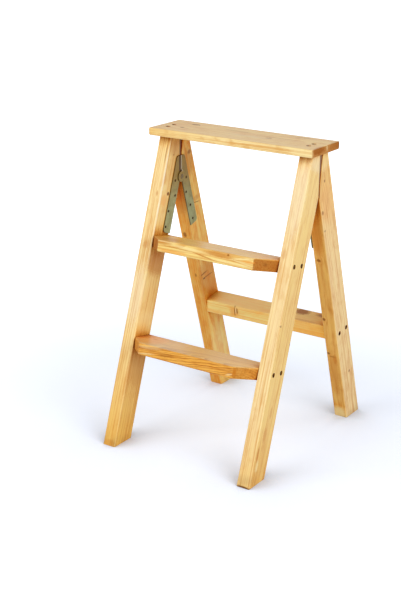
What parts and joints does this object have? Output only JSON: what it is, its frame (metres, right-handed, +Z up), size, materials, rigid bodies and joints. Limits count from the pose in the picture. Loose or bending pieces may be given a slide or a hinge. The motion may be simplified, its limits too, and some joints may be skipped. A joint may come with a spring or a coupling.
{
  "type": "folding wooden stepladder",
  "caption": "Small folding A-frame stepladder of lacquered pine with clipped treads, a top board and a rear frame that folds on riveted steel hinges.",
  "frame": {"origin": "on the floor, at the centre of the open ladder's footprint", "axes": "+Z up, -Y the climbing side, +X along the treads to the right for someone facing the treads"},
  "size_m": [0.43, 0.5302, 0.72],
  "materials": {
    "lacquered_pine": "clear satin lacquer on pine",
    "hinge_paint": "grey-green enamel",
    "rivet_steel": "dulled zinc",
    "screw_steel": "bronzed, dark"
  },
  "bodies": {
    "front_frame": {"top_board": "lacquered_pine", "upper_tread": "lacquered_pine", "lower_tread": "lacquered_pine", "front_stile_left": "lacquered_pine", "front_stile_right": "lacquered_pine", "hinge_front_leaf_left": "hinge_paint", "hinge_front_leaf_right": "hinge_paint", "hinge_rivet_left": "rivet_steel", "hinge_rivet_right": "rivet_steel", "top_board_screws_left": "screw_steel", "top_board_screws_right": "screw_steel", "upper_tread_screws_left": "screw_steel", "upper_tread_screws_right": "screw_steel", "lower_tread_screws_left": "screw_steel", "lower_tread_screws_right": "screw_steel", "hinge_front_leaf_screws_left": "screw_steel", "hinge_front_leaf_screws_right": "screw_steel"},
    "rear_frame": {"rear_crossbar": "lacquered_pine", "rear_leg_left": "lacquered_pine", "rear_leg_right": "lacquered_pine", "hinge_rear_leaf_left": "hinge_paint", "hinge_rear_leaf_right": "hinge_paint", "crossbar_screws_left": "screw_steel", "crossbar_screws_right": "screw_steel", "hinge_rear_leaf_screws_left": "screw_steel", "hinge_rear_leaf_screws_right": "screw_steel"}
  },
  "joints": [
    {"name": "rear_frame_fold", "type": "hinge", "parent": "front_frame", "child": "rear_frame", "pos_m": [0, 0, 0.6], "axis": [-1, 0, 0], "range_deg": [0, 36.4]}
  ]
}
